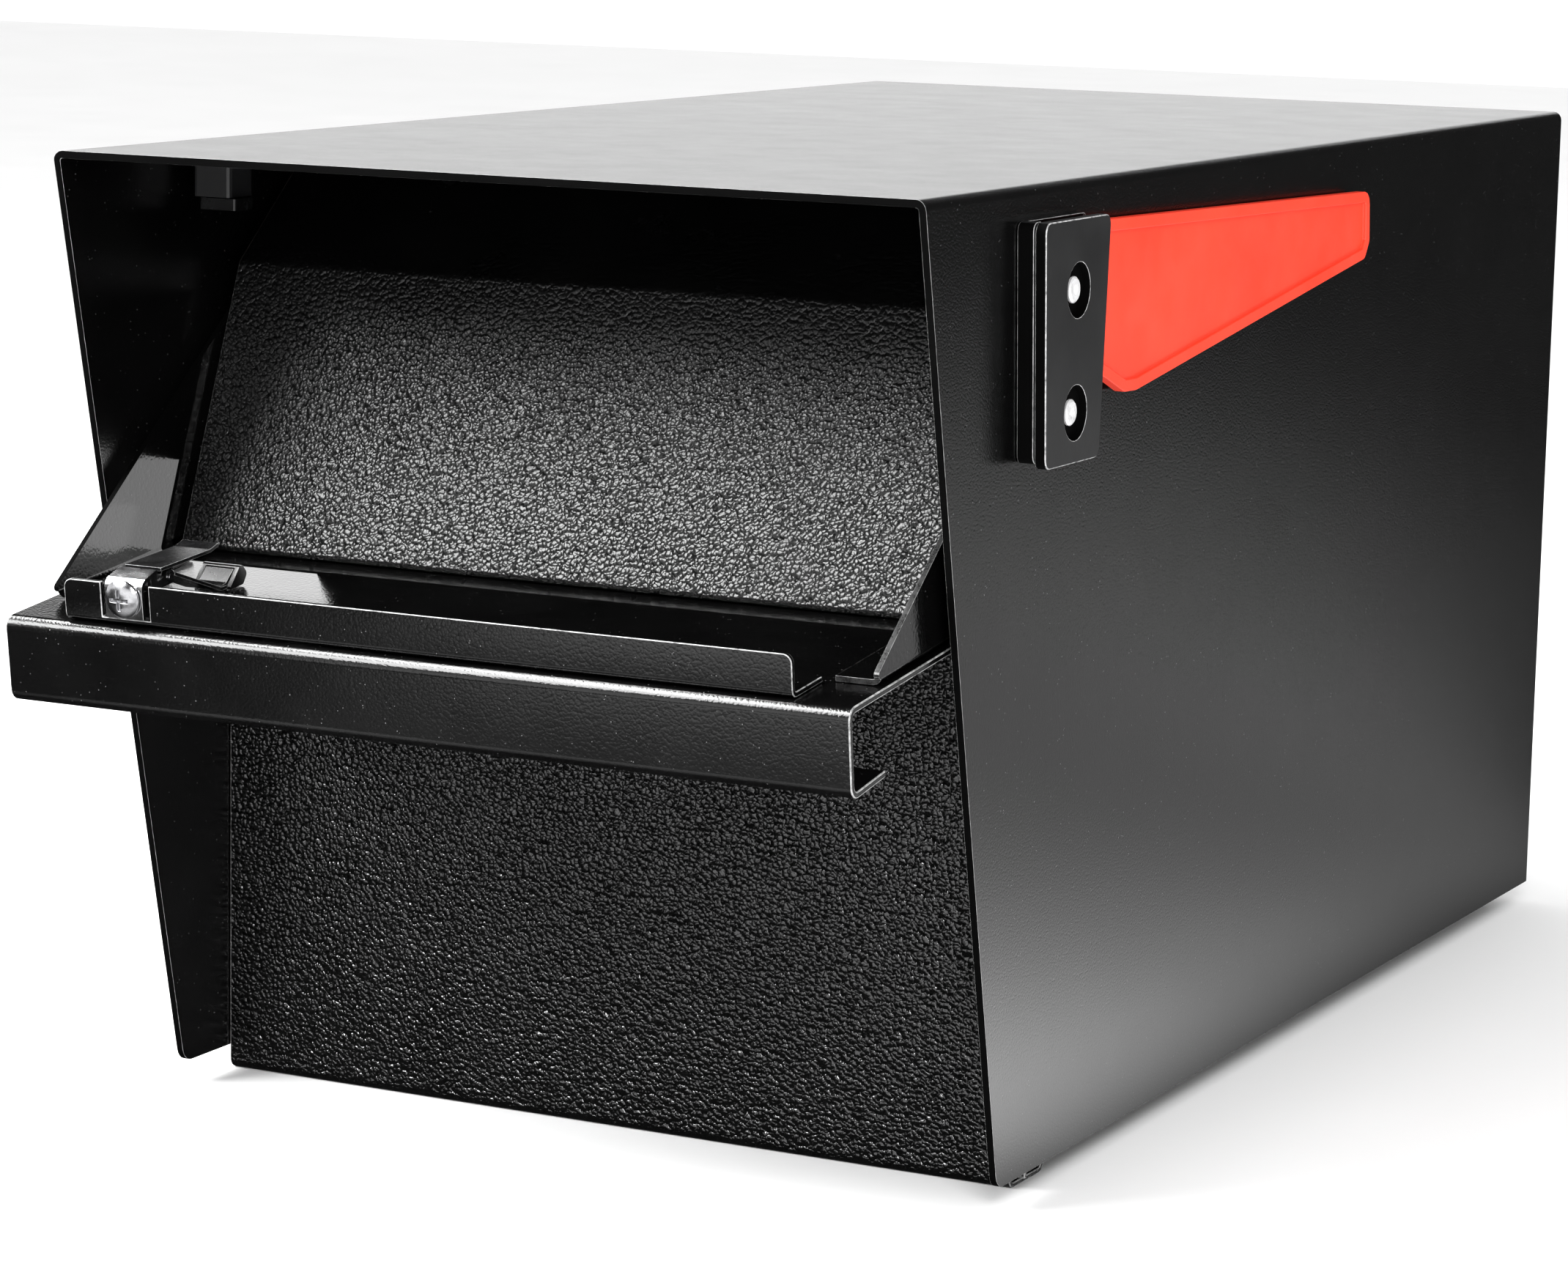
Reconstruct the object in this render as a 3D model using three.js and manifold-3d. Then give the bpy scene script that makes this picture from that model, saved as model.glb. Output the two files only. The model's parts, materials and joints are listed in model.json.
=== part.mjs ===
// A kerbside parcel and letter box of bent steel sheet, with a pull-down hopper tray, a carrier flag
// and a locked rear door. Millimetres, +Z up, the front faces -Y and the flag is on the +X side.
// The origin is the middle of the base channel's underside.
import * as THREE from 'three';
import { mergeVertices } from 'three/addons/utils/BufferGeometryUtils.js';
import Module from 'manifold-3d';

const manifoldLibrary = await Module();
manifoldLibrary.setup();

// ---------------------------------------------------------------- driving dimensions

// Housing
const WIDTH = 273;              // outside, across both side panels
const DEPTH = 528.5;            // roof, front to back
const SIDE_HEIGHT = 279.2;      // side panels, bottom edge to roof surface
const BASE_DROP = 7.3;          // base channel below the side panels
const FRONT_SETBACK = 62;       // bottom of the side panels behind the roof's front edge
const WRAP = 2.1;               // sheet of the roof and sides
const SHEET = 1.5;              // sheet of the inner panels
const BEND = 3;                 // outside radius of the roof bends
const CORNER = 5;               // rounded front bottom corner of a side panel
const GAP = 0.3;                // air between pieces that touch

const FRONT = -DEPTH / 2;
const REAR = DEPTH / 2;
const SIDE_BOTTOM = BASE_DROP;
const TOP = BASE_DROP + SIDE_HEIGHT;
const CEILING = TOP - WRAP;
const SIDE_IN = WIDTH / 2 - WRAP;            // inner face of a side panel
const INNER = SIDE_IN - GAP;                 // half width of the pieces that fit between the sides

// Lower front panel and floor
const PANEL_Y = FRONT + 86.6;                // its outer face
const PANEL_TOP = 163.5;
const PANEL_TOP_FLANGE = 15;
const PANEL_SIDE_FLANGE = 12;
const PANEL_CUT_BACK = 129.4;                // its bottom flange ends here on the right
const HEM_Y = FRONT + 107.4;                 // middle of the curled hem
const HEM_RADIUS = 2.15;                     // of the middle of its sheet
const FLOOR_Z = 8.45;                        // underside of the floor
const FLOOR_WALL = 13.5;
const FLOOR_FRONT = FRONT + 90;
const FLOOR_REAR = FRONT + 521;
const FRAME_FRONT = FRONT + 498.5;

// Base channel and what fastens it
const CHANNEL = { half: 75, lip: 95, sheet: 2, top: 8.1, front: -148, rear: 190 };
const BASE_SCREWS = [[-85.5, -120], [85.5, -120], [-85.5, 160], [85.5, 160]];
const POST_HOLES = [[-50, -90], [50, -90], [-50, 130], [50, 130]];
const POST_HOLE_RADIUS = 4.6;

// Hopper: u runs back from the lip's face, w up from the tray floor's upper surface
const HOPPER_AXIS_Y = FRONT + 84;
const HOPPER_AXIS_Z = 167.3;
const HINGE_U = 113.6;                       // the hinge line in the hopper's own u and w
const HINGE_W = -3.27;
const OPEN_TILT = THREE.MathUtils.degToRad(6.9);
const TRAY = { left: 133.3, right: 131.8, sheet: 1.8, bend: 3.7, rear: 109.3, lip: 25, lipReturn: 20.3, lipRise: 1 };
const STIFFENER = { half: 114.2, u: 3.6, height: 12.4, leg: 20, corner: 2.6 };
const CLIP_X = -93.8;                        // middle of the clip
const CLIP_WIDTH = 12.4;
const NOTCH = { half: 8, bottom: 2.3 };
const WING = { inner: 129.1, sheet: 1.5, flange: 12 };
const BAFFLE = { half: 127.4, foot: 80.45, lean: 0.524, bend: 78.4, topU: 159.9, topW: 103.9, flange: 10 };
const CLIP_PIVOT = { u: 16.5, w: 11.6 };
const PIN_RADIUS = 1;

// Hinges
const HOPPER_HINGE = { knuckle: 2.9, bore: 1.9, rod: 1.6, half: 125, knuckles: 5 };
const REAR_HINGE = { knuckle: 3.2, bore: 2.0, rod: 1.6, half: 110, knuckles: 5 };

// Catches under the roof
const CATCH = { x: 123.9, half: 6.4, y: FRONT + 61.2, depth: 12.3, bottom: 270.3 };
const MAGNET = { x: 122, half: 6.3, y: FRONT + 61.4, depth: 10, bottom: 266.6, top: 270 };

// Flag and its holder on the right side panel
const FLAG_Y = FRONT + 80.5;
const FLAG_Z = 257.7;
const LOWER_SCREW_Z = 224;
const HOLDER = { y: FRONT + 79.6, top: 277.3, bottom: 211.3, halfTop: 22.3, halfBottom: 18.4, corner: 2.5 };
const COVER_DROP = 1.3;                      // cover below the bottom of the holder's base
const HOLDER_X = WIDTH / 2 + GAP;            // inner face of the holder's base
const COVER_X = 141.9;
const COVER_OUT = 145.4;
const FLAG_X = 138.3;
const FLAG_PLATE = 2.1;
const FLAG_RIM_OUT = 141.6;
const FLAG_RIM = 3.4;
const HUB = 17.9;

// Rear opening, door and lock
const REAR_DOOR = { half: 132.8, bottom: 16.3, top: 283, inner: FRONT + 526.4, outer: FRONT + 527.9, pan: 3.9 };
const FRAME = { bottom: 12, top: 284.1, face: FRONT + 522, flange: 18 };
const GASKET = { inset: 4.4, bottom: 23.6, width: 6.2, rear: FRONT + 526.1 };
const REAR_AXIS_Y = FRONT + 531;
const REAR_AXIS_Z = 13.3;
const LOCK_Z = 253.3;

// ---------------------------------------------------------------- materials

const paint = (color, roughness, metalness) => () =>
  new THREE.MeshStandardMaterial({ color, roughness, metalness });
const blackPaint = paint(0x141414, 0.42, 0.15);
const blackPlastic = paint(0x181818, 0.5, 0);
const orange = paint(0xff5a3c, 0.45, 0);
const zinc = paint(0xc9cbcc, 0.3, 0.9);
const darkSteel = paint(0x3a3b3d, 0.35, 0.85);
const rubber = paint(0x1c1c1c, 0.85, 0);
const chrome = paint(0xdcdddd, 0.15, 1);
const brass = paint(0xb08d4a, 0.35, 0.9);

// ---------------------------------------------------------------- outlines

const point = (x, y) => new THREE.Vector2(x, y);

// Points on an arc round a centre, with both ends
function arc(centre, radius, from, to, steps) {
  const points = [];
  for (let i = 0; i <= steps; i += 1) {
    const angle = THREE.MathUtils.degToRad(from + (to - from) * i / steps);
    points.push(point(centre.x + radius * Math.cos(angle), centre.y + radius * Math.sin(angle)));
  }
  return points;
}

// The corner b of a line a-b-c, rounded
function fillet(a, b, c, radius, steps) {
  const toA = a.clone().sub(b).normalize();
  const toC = c.clone().sub(b).normalize();
  const half = Math.acos(THREE.MathUtils.clamp(toA.dot(toC), -1, 1)) / 2;
  const reach = radius / Math.tan(half);
  const middle = toA.clone().add(toC).normalize();
  const centre = b.clone().addScaledVector(middle, radius / Math.sin(half));
  const start = b.clone().addScaledVector(toA, reach).sub(centre);
  const end = b.clone().addScaledVector(toC, reach).sub(centre);
  let turn = end.angle() - start.angle();
  if (turn > Math.PI) turn -= 2 * Math.PI;
  if (turn < -Math.PI) turn += 2 * Math.PI;
  const points = [];
  for (let i = 0; i <= steps; i += 1) {
    points.push(start.clone().rotateAround(point(0, 0), turn * i / steps).add(centre));
  }
  return points;
}

// An open line with its inner corners rounded
function roundedLine(corners, radius, steps = 3) {
  const points = [corners[0]];
  for (let i = 1; i < corners.length - 1; i += 1) {
    points.push(...fillet(corners[i - 1], corners[i], corners[i + 1], radius, steps));
  }
  points.push(corners[corners.length - 1]);
  return points;
}

// A closed outline with every corner rounded; radii is one radius or one for each corner
function roundedLoop(corners, radii, steps = 3) {
  const count = corners.length;
  const points = [];
  corners.forEach((corner, i) => {
    const radius = Array.isArray(radii) ? radii[i] : radii;
    const before = corners[(i + count - 1) % count];
    const after = corners[(i + 1) % count];
    if (radius > 0) points.push(...fillet(before, corner, after, radius, steps));
    else points.push(corner);
  });
  return points;
}

// A closed outline moved sideways by a distance, its corners kept sharp; negative is inwards
// for an outline that runs anticlockwise
function offsetLoop(points, distance) {
  const count = points.length;
  return points.map((corner, i) => {
    const before = corner.clone().sub(points[(i + count - 1) % count]).normalize();
    const after = points[(i + 1) % count].clone().sub(corner).normalize();
    const out = point(before.y + after.y, -before.x - after.x).normalize();
    const stretch = out.dot(point(before.y, -before.x));
    return corner.clone().addScaledVector(out, distance / stretch);
  });
}

// The outline of bent sheet that follows a line through the middle of the metal
function ribbon(line, thickness) {
  const left = [];
  const right = [];
  line.forEach((here, i) => {
    const before = i > 0 ? here.clone().sub(line[i - 1]).normalize() : null;
    const after = i < line.length - 1 ? line[i + 1].clone().sub(here).normalize() : null;
    const first = before || after;
    const second = after || before;
    const normal = point(-first.y - second.y, first.x + second.x).normalize();
    const stretch = normal.dot(point(-first.y, first.x));
    left.push(here.clone().addScaledVector(normal, thickness / 2 / stretch));
    right.push(here.clone().addScaledVector(normal, -thickness / 2 / stretch));
  });
  return left.concat(right.reverse());
}

const rectangle = (x0, x1, y0, y1) => [point(x0, y0), point(x1, y0), point(x1, y1), point(x0, y1)];
const circle = (radius, sides, x = 0, y = 0) => arc(point(x, y), radius, 0, 360, sides).slice(0, sides);

// ---------------------------------------------------------------- solids

const AXES = {
  x: [new THREE.Vector3(0, 1, 0), new THREE.Vector3(0, 0, 1), new THREE.Vector3(1, 0, 0)],
  y: [new THREE.Vector3(1, 0, 0), new THREE.Vector3(0, 0, 1), new THREE.Vector3(0, -1, 0)],
  z: [new THREE.Vector3(1, 0, 0), new THREE.Vector3(0, 1, 0), new THREE.Vector3(0, 0, 1)],
};

// An outline, with holes if it has them, pulled straight from one place on an axis to another.
// Along x the outline is in (y, z), along y in (x, z) and along z in (x, y).
function extrude(axis, outline, from, to, holes = []) {
  const shape = new THREE.Shape(outline);
  holes.forEach((hole) => shape.holes.push(new THREE.Path(hole)));
  const length = to - from;
  const geometry = new THREE.ExtrudeGeometry(shape, { depth: length, bevelEnabled: false });
  if (axis === 'y') geometry.translate(0, 0, -length);
  geometry.applyMatrix4(new THREE.Matrix4().makeBasis(...AXES[axis]));
  const shift = new THREE.Vector3(axis === 'x' ? from : 0, axis === 'y' ? from : 0, axis === 'z' ? from : 0);
  return geometry.translate(shift.x, shift.y, shift.z);
}

function block(x0, x1, y0, y1, z0, z1) {
  const geometry = new THREE.BoxGeometry(x1 - x0, y1 - y0, z1 - z0);
  return geometry.translate((x0 + x1) / 2, (y0 + y1) / 2, (z0 + z1) / 2);
}

// A turned piece: its profile is [radius, place along the axis], closed by the axis or by itself
function turned(axis, profile, sides, x = 0, y = 0, z = 0) {
  const geometry = new THREE.LatheGeometry(profile.map(([r, a]) => point(r, a)), sides);
  if (axis === 'x') geometry.rotateZ(-Math.PI / 2);
  if (axis === 'z') geometry.rotateX(Math.PI / 2);
  return geometry.translate(x, y, z);
}

function toManifold(geometry) {
  const bare = geometry.clone();
  bare.deleteAttribute('normal');
  bare.deleteAttribute('uv');
  const merged = mergeVertices(bare, 1e-4);
  return new manifoldLibrary.Manifold(new manifoldLibrary.Mesh({
    numProp: 3,
    vertProperties: new Float32Array(merged.attributes.position.array),
    triVerts: new Uint32Array(merged.index.array),
  }));
}

function fromManifold(solid) {
  const mesh = solid.getMesh();
  const geometry = new THREE.BufferGeometry();
  geometry.setAttribute('position', new THREE.BufferAttribute(new Float32Array(mesh.vertProperties), 3));
  geometry.setIndex(new THREE.BufferAttribute(new Uint32Array(mesh.triVerts), 1));
  geometry.computeVertexNormals();
  return geometry;
}

const join = (...parts) => fromManifold(parts.map(toManifold).reduce((a, b) => a.add(b)));
const cut = (base, ...tools) => fromManifold(tools.map(toManifold).reduce((a, b) => a.subtract(b), toManifold(base)));
const common = (a, b) => fromManifold(toManifold(a).intersect(toManifold(b)));

// A six-sided nut with its hole, on an axis
const hexNut = (axis, acrossFlats, hole, from, to, u, v) =>
  extrude(axis, circle(acrossFlats / Math.sqrt(3), 6, u, v), from, to, [circle(hole, 12, u, v)]);

const parcelBox = new THREE.Group();

function add(name, geometry, material, parent = parcelBox) {
  const mesh = new THREE.Mesh(geometry, material());
  mesh.name = name;
  parent.add(mesh);
  return mesh;
}

// ---------------------------------------------------------------- housing

function housingWrap() {
  const mid = WIDTH / 2 - WRAP / 2;
  const roofLine = TOP - WRAP / 2;
  const line = [point(-mid, SIDE_BOTTOM), point(-mid, roofLine), point(mid, roofLine), point(mid, SIDE_BOTTOM)];
  const sheet = extrude('y', ribbon(roundedLine(line, BEND - WRAP / 2, 4), WRAP), FRONT, REAR);
  const away = 5;
  const slantTop = point(FRONT, CEILING);
  const slantBottom = point(FRONT + FRONT_SETBACK, SIDE_BOTTOM);
  const rounded = fillet(slantTop, slantBottom, point(REAR, SIDE_BOTTOM), CORNER, 5);
  const waste = [
    point(FRONT - away, CEILING),
    slantTop,
    ...rounded,
    point(rounded[rounded.length - 1].x, SIDE_BOTTOM - away),
    point(FRONT - away, SIDE_BOTTOM - away),
  ].reverse();
  const screwHoles = [FLAG_Z, LOWER_SCREW_Z].map((z) =>
    extrude('x', circle(2.4, 12, FLAG_Y, z), SIDE_IN - away, WIDTH / 2 + away));
  return cut(sheet, extrude('x', waste, -WIDTH, WIDTH), ...screwHoles);
}

function frontPanel() {
  const mid = PANEL_Y + SHEET / 2;
  const hemCentre = point(HEM_Y, SHEET / 2 + HEM_RADIUS);
  const bottom = roundedLine([
    point(mid, PANEL_TOP / 2),
    point(mid, SHEET / 2),
    point(hemCentre.x, SHEET / 2),
  ], BEND - SHEET / 2, 4);
  const hem = arc(hemCentre, HEM_RADIUS, -90, 200, 9).slice(1);
  const lower = extrude('x', ribbon(bottom.concat(hem), SHEET), -INNER, PANEL_CUT_BACK);
  const upperLine = roundedLine([
    point(mid, 4),
    point(mid, PANEL_TOP - SHEET / 2),
    point(mid + PANEL_TOP_FLANGE, PANEL_TOP - SHEET / 2),
  ], BEND - SHEET / 2, 4);
  const upper = extrude('x', ribbon(upperLine, SHEET), -INNER, INNER);
  const flanges = [-1, 1].map((side) => {
    const [x0, x1] = side < 0 ? [-INNER, -INNER + SHEET] : [INNER - SHEET, INNER];
    return block(x0, x1, PANEL_Y + 1, PANEL_Y + PANEL_SIDE_FLANGE, 26, PANEL_TOP - 5);
  });
  return join(lower, upper, ...flanges);
}

function floorPan() {
  const z = FLOOR_Z + SHEET / 2;
  const wall = INNER - SHEET / 2;
  const line = [point(-wall, z + FLOOR_WALL), point(-wall, z), point(wall, z), point(wall, z + FLOOR_WALL)];
  const pan = extrude('y', ribbon(roundedLine(line, 2, 3), SHEET), FLOOR_FRONT, FRAME_FRONT - 1);
  const tail = block(-wall + 1, wall - 1, FRAME_FRONT - 3, FLOOR_REAR, FLOOR_Z, FLOOR_Z + SHEET);
  return cut(join(pan, tail), ...floorHoles(FLOOR_Z - 2, FLOOR_Z + 6));
}

// The holes that the floor and the channel share: screws to each other, and bolts to a post
function floorHoles(from, to) {
  const screws = BASE_SCREWS.map(([x, y]) => extrude('z', circle(2.9, 10, x, y), from, to));
  const post = POST_HOLES.map(([x, y]) => extrude('z', circle(POST_HOLE_RADIUS, 12, x, y), from, to));
  return screws.concat(post);
}

function baseChannel() {
  const lipZ = CHANNEL.top - CHANNEL.sheet / 2;
  const footZ = CHANNEL.sheet / 2;
  const line = [
    point(-CHANNEL.lip, lipZ),
    point(-CHANNEL.half - 1.5, lipZ),
    point(-CHANNEL.half, footZ),
    point(CHANNEL.half, footZ),
    point(CHANNEL.half + 1.5, lipZ),
    point(CHANNEL.lip, lipZ),
  ];
  const hat = extrude('y', ribbon(roundedLine(line, 1.6, 2), CHANNEL.sheet), CHANNEL.front, CHANNEL.rear);
  return cut(hat, ...floorHoles(-2, CHANNEL.top + 2));
}

function baseScrew(x, y) {
  const seat = FLOOR_Z + SHEET + GAP;
  const profile = [[0, 1.1], [2.4, 1.1], [2.4, seat], [4.7, seat], [4.5, seat + 1.4], [3.2, seat + 2.4], [0, seat + 2.7]];
  return turned('z', profile, 12, x, y, 0);
}

add('housing_wrap', housingWrap(), blackPaint);
add('front_panel', frontPanel(), blackPaint);
add('floor_pan', floorPan(), blackPaint);
add('base_channel', baseChannel(), blackPaint);
BASE_SCREWS.forEach(([x, y], i) => {
  const under = CHANNEL.top - CHANNEL.sheet - GAP;
  add(`base_screw_${i + 1}`, baseScrew(x, y), zinc);
  add(`base_nut_${i + 1}`, hexNut('z', 9, 2.7, under - 3.2, under, x, y), zinc);
});

// ---------------------------------------------------------------- hinges

// One leaf: knuckles round the x axis at the origin, joined to a flat plate by a tab at each knuckle.
// first is 0 for the leaf with the outer knuckles and 1 for the one between them.
function hingeLeaf(hinge, first, plate, tab) {
  const pitch = 2 * hinge.half / hinge.knuckles;
  const pieces = [extrude('x', plate, -hinge.half, hinge.half)];
  for (let i = first; i < hinge.knuckles; i += 2) {
    const from = -hinge.half + i * pitch + GAP / 2;
    const to = from + pitch - GAP;
    const clampedFrom = Math.max(from, -hinge.half);
    const clampedTo = Math.min(to, hinge.half);
    pieces.push(extrude('x', circle(hinge.knuckle, 16), clampedFrom, clampedTo, [circle(hinge.bore, 16)]));
    pieces.push(extrude('x', tab, clampedFrom, clampedTo));
  }
  return join(...pieces);
}

const hopperFixed = add('hopper_hinge_fixed', hingeLeaf(
  HOPPER_HINGE,
  0,
  rectangle(2.6, 16.5, -3.5, -2.3),
  rectangle(0, 3, -3.5, -2.3),
), blackPaint);
hopperFixed.position.set(0, HOPPER_AXIS_Y, HOPPER_AXIS_Z);

const hopperRod = add('hopper_hinge_rod', turned('x', [
  [0, -HOPPER_HINGE.half - 1],
  [HOPPER_HINGE.rod, -HOPPER_HINGE.half - 1],
  [HOPPER_HINGE.rod, HOPPER_HINGE.half + 1],
  [0, HOPPER_HINGE.half + 1],
], 12), zinc);
hopperRod.position.set(0, HOPPER_AXIS_Y, HOPPER_AXIS_Z);

// ---------------------------------------------------------------- hopper, in its own u and w

const hopper = new THREE.Group();
hopper.position.set(0, HOPPER_AXIS_Y, HOPPER_AXIS_Z);
hopper.rotation.x = OPEN_TILT;
parcelBox.add(hopper);

const tray = (u, w) => point(u - HINGE_U, w - HINGE_W);

function hopperDoor() {
  const half = TRAY.sheet / 2;
  const line = [
    tray(TRAY.rear, -half),
    tray(half, -half),
    tray(half, -TRAY.lip + half),
    tray(TRAY.lipReturn, -TRAY.lip + half + TRAY.lipRise),
  ];
  return extrude('x', ribbon(roundedLine(line, TRAY.bend - half, 5), TRAY.sheet), -TRAY.left, TRAY.right);
}

function hopperStiffener() {
  const rest = GAP + SHEET / 2;
  const line = [tray(STIFFENER.u, STIFFENER.height), tray(STIFFENER.u, rest), tray(STIFFENER.leg, rest)];
  const angle = extrude('x', ribbon(roundedLine(line, 1.6, 3), SHEET), -STIFFENER.half, STIFFENER.half);
  const cornerCuts = [-1, 1].map((side) => {
    const from = tray(STIFFENER.u - 3, 0).x;
    const x = side * STIFFENER.half;
    const top = STIFFENER.height - HINGE_W;
    const middle = point(x - side * STIFFENER.corner, top - STIFFENER.corner);
    const outline = [
      ...arc(middle, STIFFENER.corner, side > 0 ? 0 : 180, 90, 6),
      point(middle.x, top + 2),
      point(x + side * 2, top + 2),
      point(x + side * 2, middle.y),
    ];
    return extrude('y', side > 0 ? outline : outline.reverse(), from, from + 6);
  });
  const low = tray(0, NOTCH.bottom);
  const notchFrom = tray(STIFFENER.u - 2, 0).x;
  const notch = block(
    CLIP_X - NOTCH.half, CLIP_X + NOTCH.half,
    notchFrom, notchFrom + 4,
    low.y, low.y + STIFFENER.height,
  );
  return cut(angle, notch, ...cornerCuts);
}

// The cheek on one side: an L of sheet, trimmed to the cheek's outline
function wing(side) {
  const mid = WING.inner + WING.sheet / 2;
  const foot = GAP + WING.sheet / 2 - HINGE_W;
  const line = [
    point(side * mid, 75 - HINGE_W),
    point(side * mid, foot),
    point(side * (WING.inner - WING.flange), foot),
  ];
  const angle = extrude('y', ribbon(roundedLine(line, 1.9, 3), WING.sheet), -HINGE_U, 30);
  const outline = roundedLoop([
    tray(22, -1),
    tray(22, 2),
    tray(18.9, 3.2),
    tray(118.4, 65.2),
    tray(130, 65.2),
    tray(95.4, 3.6),
    tray(78, 3.6),
    tray(78, -1),
  ], [0, 0, 1.2, 3, 3, 0, 0, 0], 3);
  const trim = extrude('x', outline, side > 0 ? 110 : -140, side > 0 ? 140 : -110);
  return common(angle, trim);
}

function baffle() {
  const rest = GAP + SHEET / 2;
  const face = (w) => tray(BAFFLE.foot + BAFFLE.lean * w, w);
  const line = [tray(94, rest), face(rest), face(BAFFLE.bend), tray(BAFFLE.topU, BAFFLE.topW)];
  const bends = [
    line[0],
    ...fillet(line[0], line[1], line[2], 0.9, 4),
    ...fillet(line[1], line[2], line[3], 4, 3),
    line[3],
  ];
  const sheet = extrude('x', ribbon(bends, SHEET), -BAFFLE.half, BAFFLE.half);
  const back = point(1, -BAFFLE.lean).normalize().multiplyScalar(BAFFLE.flange);
  const low = face(6);
  const high = face(74);
  const outline = [low, low.clone().add(back), high.clone().add(back), high];
  const flanges = [-1, 1].map((side) => extrude(
    'x',
    outline,
    side < 0 ? -BAFFLE.half : BAFFLE.half - SHEET,
    side < 0 ? -BAFFLE.half + SHEET : BAFFLE.half,
  ));
  return join(sheet, ...flanges);
}

add('hopper_door', hopperDoor(), blackPaint, hopper);
add('hopper_stiffener', hopperStiffener(), blackPaint, hopper);
add('wing_left', wing(-1), blackPaint, hopper);
add('wing_right', wing(1), blackPaint, hopper);
add('baffle', baffle(), blackPaint, hopper);
add('hopper_hinge_moving', hingeLeaf(
  HOPPER_HINGE,
  1,
  rectangle(-22, -3.5, -0.04, 1.16),
  rectangle(-3.8, -2.1, -0.04, 1.16),
), blackPaint, hopper);

// ---------------------------------------------------------------- outgoing-mail clip on the tray

const clipLeft = CLIP_X - CLIP_WIDTH / 2;
const clipRight = CLIP_X + CLIP_WIDTH / 2;
const EAR = 1.2;
const TONGUE = 4.6;                          // half width
const pivot = tray(CLIP_PIVOT.u, CLIP_PIVOT.w);

function clipBracket() {
  const face = 2.8;
  const line = [tray(face, 2.6), tray(face, 12.9), tray(10.6, 14.6)];
  const strip = extrude('x', ribbon(roundedLine(line, 2.6, 5), 1.2), clipLeft, clipRight);
  const earOutline = [
    tray(7.2, 9.6),
    tray(18.6, 9.6),
    tray(18.6, 12.8),
    tray(17.6, 13.6),
    tray(15.4, 13.6),
    tray(12.2, 11.9),
    tray(10.4, 11.9),
    tray(10.4, 14.2),
    tray(7.2, 13.5),
  ];
  const ears = [clipLeft, clipRight - EAR].map((x) => extrude('x', earOutline, x, x + EAR));
  const pinHole = extrude('x', circle(PIN_RADIUS + GAP, 12, pivot.x, pivot.y), clipLeft - 1, clipRight + 1);
  const screwHole = extrude('y', circle(2, 12, CLIP_X, 8.4 - HINGE_W), tray(face, 0).x - 2, tray(face, 0).x + 2);
  return cut(join(strip, ...ears), pinHole, screwHole);
}

function clipScrew() {
  const profile = [[0, 0], [1.6, 0], [1.6, 7.6], [5.6, 7.6], [5.6, 8.3], [4.6, 9.3], [2.6, 9.9], [0, 10]];
  const cross = [block(-3, 3, 8.8, 12, -0.55, 0.55), block(-0.55, 0.55, 8.8, 12, -3, 3)];
  const screw = cut(turned('y', profile, 20), ...cross);
  const from = tray(9.5, 0).x;
  return screw.rotateZ(Math.PI).translate(CLIP_X, from, 8.4 - HINGE_W);
}

function clipBacker() {
  const low = tray(4.65, 2.9);
  const high = tray(6.65, 11.4);
  const plate = block(CLIP_X - 12.5, CLIP_X + 12.5, low.x, high.x, low.y, high.y);
  return cut(plate, extrude('y', circle(2, 12, CLIP_X, 8.4 - HINGE_W), low.x - 1, high.x + 1));
}

// The end of the pressing leaf: a narrower tongue that turns up inside the pad
function clipTongue(from = 44, to = 50.6) {
  return roundedLine([tray(from, 1.6), tray(46.2, 1.6), tray(to, 1.6 + (to - 46.2) * 0.72)], 1.6, 3);
}

// The lever: a finger leaf above, a pressing leaf that slopes to the floor, and the eye they turn on
function clipLever() {
  const upper = roundedLine([tray(12.6, 14.7), tray(37.5, 13.9), tray(41.6, 14.7)], 6, 3);
  const lower = roundedLine([tray(17.6, 12.6), tray(41.6, 1.6), tray(44.5, 1.6)], 3, 3);
  const leafLeft = clipLeft + 0.2;
  const leafRight = clipRight - 0.2;
  const eyeHalf = CLIP_WIDTH / 2 - EAR - GAP;
  const eye = extrude('x', circle(2.5, 14, pivot.x, pivot.y), CLIP_X - eyeHalf, CLIP_X + eyeHalf);
  const web = extrude(
    'x',
    [tray(17.2, 10.6), tray(20.4, 10.9), tray(20.4, 14.4), tray(18.2, 14.4), tray(17.4, 13.6)],
    CLIP_X - eyeHalf,
    CLIP_X + eyeHalf,
  );
  const leaves = [
    extrude('x', ribbon(upper, 1), leafLeft, leafRight),
    extrude('x', ribbon(lower.map((p, i) => (i === 0 ? tray(19.2, 11.87) : p)), 1), leafLeft, leafRight),
    extrude('x', ribbon(clipTongue(), 1), CLIP_X - TONGUE, CLIP_X + TONGUE),
  ];
  const springSlot = block(CLIP_X - 2.4, CLIP_X + 2.4, pivot.x - 3, pivot.x + 2.9, pivot.y - 3, pivot.y + 2.1);
  const bore = extrude('x', circle(PIN_RADIUS + GAP, 12, pivot.x, pivot.y), clipLeft, clipRight);
  return cut(join(eye, web, ...leaves), springSlot, bore);
}

// The dipped end of the pressing leaf: a blunt wedge, with a slot that the tongue sits in
function clipPad() {
  const outline = roundedLoop([
    tray(45.1, 0.35),
    tray(52.4, 0.35),
    tray(54.8, 3.2),
    tray(52, 6.7),
  ], [0.5, 1.4, 1.4, 1.4], 3);
  const pad = extrude('x', outline, CLIP_X - 6.3, CLIP_X + 6.3);
  return cut(pad, extrude('x', ribbon(clipTongue(40, 51), 1.6), CLIP_X - TONGUE - GAP, CLIP_X + TONGUE + GAP));
}

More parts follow.
